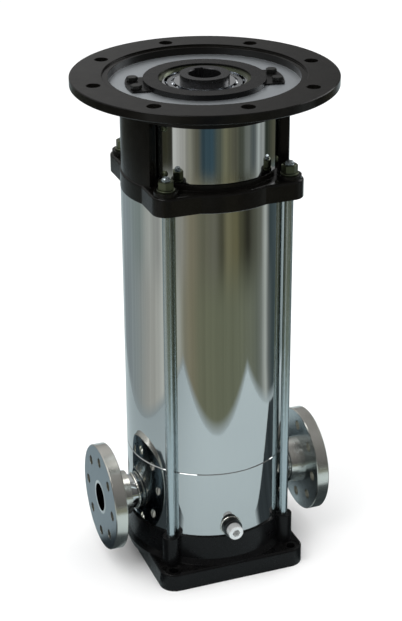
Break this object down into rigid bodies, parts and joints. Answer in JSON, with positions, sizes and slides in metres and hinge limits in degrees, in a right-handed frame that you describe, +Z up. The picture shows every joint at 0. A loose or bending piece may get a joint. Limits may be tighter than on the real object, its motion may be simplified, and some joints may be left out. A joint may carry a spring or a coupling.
{
  "type": "vertical multistage pump",
  "caption": "Vertical multistage centrifugal pump, bare shaft end: foundation base, in-line flanged ports, sleeve held by tie rods, and a motor stool with drive hub.",
  "frame": {"origin": "centre of the underside of the foundation base, on the pump axis", "axes": "+Z up along the pump axis, +X from the inlet port to the outlet port, -Y to the front with the drain plug"},
  "size_m": [0.35, 0.3498, 0.702],
  "materials": {
    "black_casting": "gloss black enamel over a casting",
    "polished_steel": "mirror polished stainless steel",
    "flange_steel": "satin, turned",
    "zinc_steel": "zinc plated",
    "stainless_steel": "satin",
    "cast_iron": "machined and oiled",
    "hub_steel": "blackened steel",
    "bearing_steel": "ground",
    "cage_steel": "pressed sheet",
    "rubber_seal": "matte",
    "hard_bearing": "lapped carbide",
    "ring_polymer": "plain"
  },
  "bodies": {
    "pump_body": {"base_plate": "black_casting", "port_casing": "polished_steel", "inlet_flange": "flange_steel", "outlet_flange": "flange_steel", "drain_plug_seal": "rubber_seal", "outer_sleeve": "polished_steel", "sleeve_seal_lower": "rubber_seal", "sleeve_seal_upper": "rubber_seal", "tie_rods": "polished_steel", "tie_rod_washers": "zinc_steel", "tie_rod_nuts": "zinc_steel", "stage_chamber_1": "stainless_steel", "stage_chamber_2": "stainless_steel", "stage_chamber_3": "stainless_steel", "stage_chamber_4": "stainless_steel", "stage_chamber_5": "stainless_steel", "stage_chamber_6": "stainless_steel", "neck_rings": "ring_polymer", "chamber_bushes": "hard_bearing", "bottom_bearing_carrier": "stainless_steel", "bottom_bush": "hard_bearing", "discharge_ring": "stainless_steel", "disc_springs": "stainless_steel", "pump_head": "cast_iron", "vent_plug_seal": "rubber_seal", "seal_seat": "hard_bearing", "coupling_guard_front": "polished_steel", "coupling_guard_rear": "polished_steel", "guard_screws": "zinc_steel", "motor_stool": "black_casting", "bearing_housing": "black_casting", "housing_bolts": "zinc_steel", "bearing_circlip": "zinc_steel", "bearing_outer_ring": "bearing_steel"},
    "rotor": {"pump_shaft": "stainless_steel", "impeller_1": "stainless_steel", "impeller_2": "stainless_steel", "impeller_3": "stainless_steel", "impeller_4": "stainless_steel", "impeller_5": "stainless_steel", "impeller_6": "stainless_steel", "shaft_spacers": "stainless_steel", "shaft_nut": "stainless_steel", "seal_ring": "hard_bearing", "seal_spring": "stainless_steel", "seal_carrier": "stainless_steel", "drive_hub": "hub_steel", "drive_pin": "zinc_steel", "clamp_half_front": "cast_iron", "clamp_half_rear": "cast_iron", "clamp_bolts": "zinc_steel", "bearing_inner_ring": "bearing_steel"},
    "ball_set": {"bearing_balls": "bearing_steel", "bearing_cage": "cage_steel"},
    "drain_plug": {"drain_plug": "stainless_steel"},
    "vent_plug": {"vent_plug": "stainless_steel"}
  },
  "joints": [
    {"name": "rotor_spin", "type": "hinge", "parent": "pump_body", "child": "rotor", "pos_m": [0, 0, 0.6], "axis": [0, 0, 1], "continuous": true},
    {"name": "ball_set_spin", "type": "hinge", "parent": "pump_body", "child": "ball_set", "pos_m": [0, 0, 0.6805], "axis": [0, 0, 1], "continuous": true},
    {"name": "drain_plug_out", "type": "slide", "parent": "pump_body", "child": "drain_plug", "axis": [0, -1, 0], "range_m": [0, 0.026]},
    {"name": "vent_plug_out", "type": "slide", "parent": "pump_body", "child": "vent_plug", "axis": [0, 0, 1], "range_m": [0, 0.02]}
  ],
  "couplings": [
    {"joint": "ball_set_spin", "follows": "rotor_spin", "ratio": 0.4103}
  ]
}
